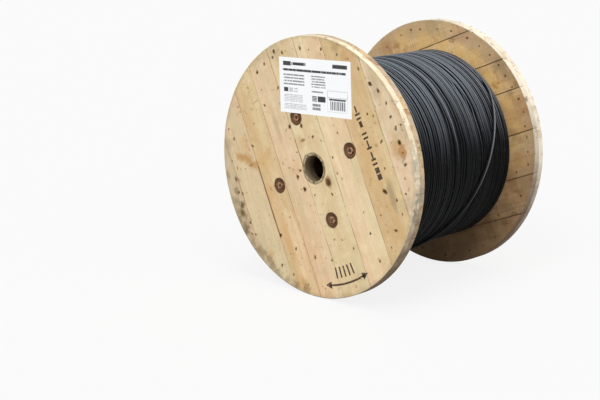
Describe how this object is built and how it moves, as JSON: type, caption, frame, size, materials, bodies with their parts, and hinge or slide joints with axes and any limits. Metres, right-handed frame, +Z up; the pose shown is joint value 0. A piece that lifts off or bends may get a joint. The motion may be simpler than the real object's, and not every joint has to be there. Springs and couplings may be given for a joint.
{
  "type": "wooden cable drum",
  "caption": "Wooden cable drum with crosswise board flanges, a stave barrel, steel tie bolts and spindle bushes, wound with black power cable.",
  "frame": {"origin": "on the spindle axis, midway between the flanges", "axes": "+Y along the spindle from the near flange to the far one, +Z up"},
  "size_m": [0.8, 0.6103, 0.8],
  "materials": {
    "near_outer_boards": "sawn",
    "near_inner_boards": "sawn",
    "far_inner_boards": "sawn",
    "far_outer_boards": "sawn",
    "barrel_staves": "sawn",
    "bush_steel": "dull",
    "bolt_steel": "rusted",
    "cable_sheath": "satin",
    "label_paper": "matte"
  },
  "bodies": {
    "root": {"near_outer_board_1": "near_outer_boards", "near_outer_board_2": "near_outer_boards", "near_outer_board_3": "near_outer_boards", "near_outer_board_4": "near_outer_boards", "near_outer_board_5": "near_outer_boards", "near_outer_board_6": "near_outer_boards", "near_outer_board_7": "near_outer_boards", "near_outer_board_8": "near_outer_boards", "near_inner_board_1": "near_inner_boards", "near_inner_board_2": "near_inner_boards", "near_inner_board_3": "near_inner_boards", "near_inner_board_4": "near_inner_boards", "near_inner_board_5": "near_inner_boards", "near_inner_board_6": "near_inner_boards", "near_inner_board_7": "near_inner_boards", "far_inner_board_1": "far_inner_boards", "far_inner_board_2": "far_inner_boards", "far_inner_board_3": "far_inner_boards", "far_inner_board_4": "far_inner_boards", "far_inner_board_5": "far_inner_boards", "far_inner_board_6": "far_inner_boards", "far_inner_board_7": "far_inner_boards", "far_outer_board_1": "far_outer_boards", "far_outer_board_2": "far_outer_boards", "far_outer_board_3": "far_outer_boards", "far_outer_board_4": "far_outer_boards", "far_outer_board_5": "far_outer_boards", "far_outer_board_6": "far_outer_boards", "far_outer_board_7": "far_outer_boards", "far_outer_board_8": "far_outer_boards", "barrel_stave_1": "barrel_staves", "barrel_stave_2": "barrel_staves", "barrel_stave_3": "barrel_staves", "barrel_stave_4": "barrel_staves", "barrel_stave_5": "barrel_staves", "barrel_stave_6": "barrel_staves", "barrel_stave_7": "barrel_staves", "barrel_stave_8": "barrel_staves", "barrel_stave_9": "barrel_staves", "barrel_stave_10": "barrel_staves", "barrel_stave_11": "barrel_staves", "barrel_stave_12": "barrel_staves", "barrel_stave_13": "barrel_staves", "barrel_stave_14": "barrel_staves", "near_bore_bush": "bush_steel", "far_bore_bush": "bush_steel", "tie_bolt_1": "bolt_steel", "tie_bolt_2": "bolt_steel", "tie_bolt_3": "bolt_steel", "tie_bolt_4": "bolt_steel", "bolt_washers": "bolt_steel", "tie_nuts": "bolt_steel", "cable_winding": "cable_sheath", "cable_crossing_turn": "cable_sheath", "paper_label": "label_paper"}
  },
  "joints": []
}
